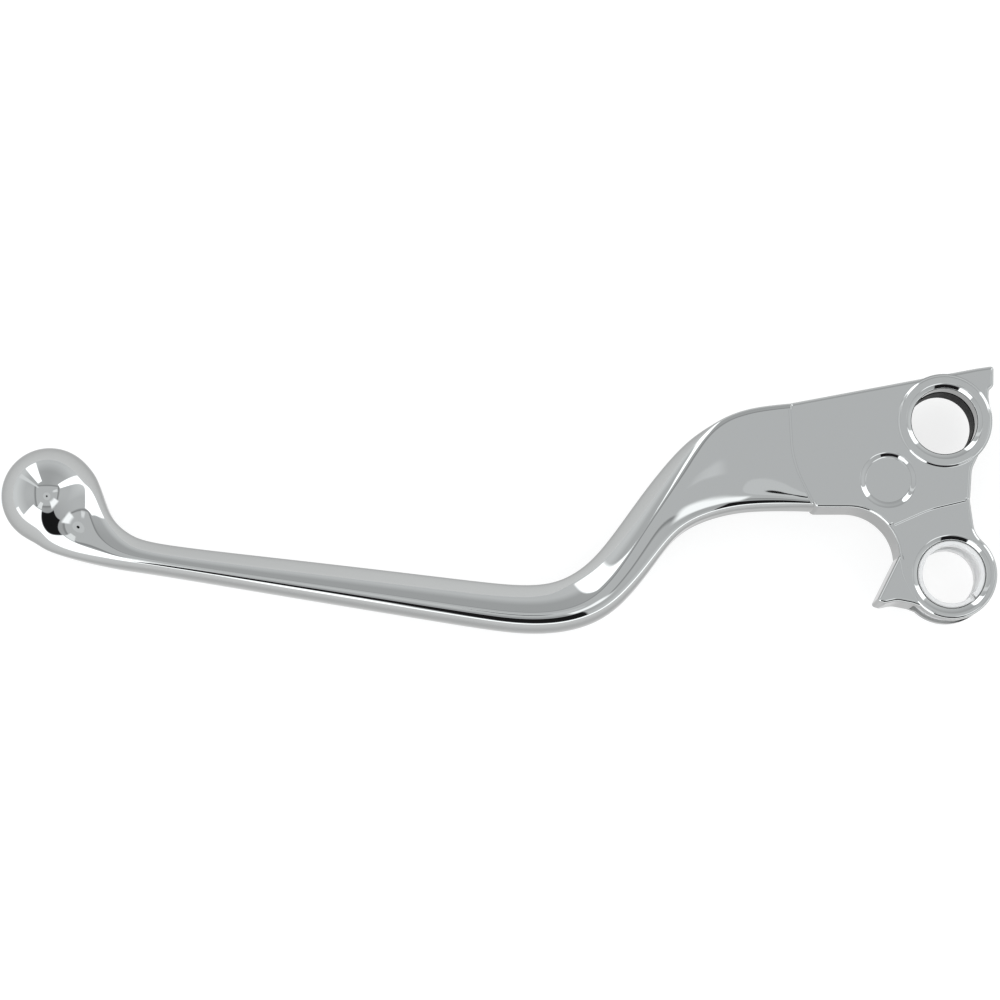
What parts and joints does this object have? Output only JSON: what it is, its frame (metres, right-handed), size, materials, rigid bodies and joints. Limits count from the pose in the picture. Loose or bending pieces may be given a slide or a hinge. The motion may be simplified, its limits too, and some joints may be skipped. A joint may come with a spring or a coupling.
{
  "type": "motorcycle clutch lever",
  "caption": "Cranked chrome clutch lever with a ball end, a pivot bore, and a slotted lug with bushes for the cable pin.",
  "frame": {"origin": "on the pivot axis, at the lever's mid thickness", "axes": "+Z along the pivot axis out of the face with the round recess, +X away from the blade, +Y towards the handlebar grip"},
  "size_m": [0.1935, 0.0517, 0.0188],
  "materials": {
    "chrome": "polished chrome plate",
    "liner": "dark self-lubricating liner",
    "nylon": "natural nylon"
  },
  "bodies": {
    "liner": {"pivot_bush": "liner"},
    "lever": {"lever_casting": "chrome"},
    "cable_pin_bushes": {"anchor_bush_upper": "nylon", "anchor_bush_lower": "nylon"}
  },
  "joints": [
    {"name": "lever_pull", "type": "hinge", "parent": "liner", "child": "lever", "pos_m": [0, 0, 0], "axis": [0, 0, -1], "range_deg": [0, 22]},
    {"name": "cable_pin_turn", "type": "hinge", "parent": "lever", "child": "cable_pin_bushes", "pos_m": [0.001, -0.0298, 0], "axis": [0, 0, -1], "range_deg": [-22, 0]}
  ],
  "couplings": [
    {"joint": "cable_pin_turn", "follows": "lever_pull", "ratio": -1}
  ]
}
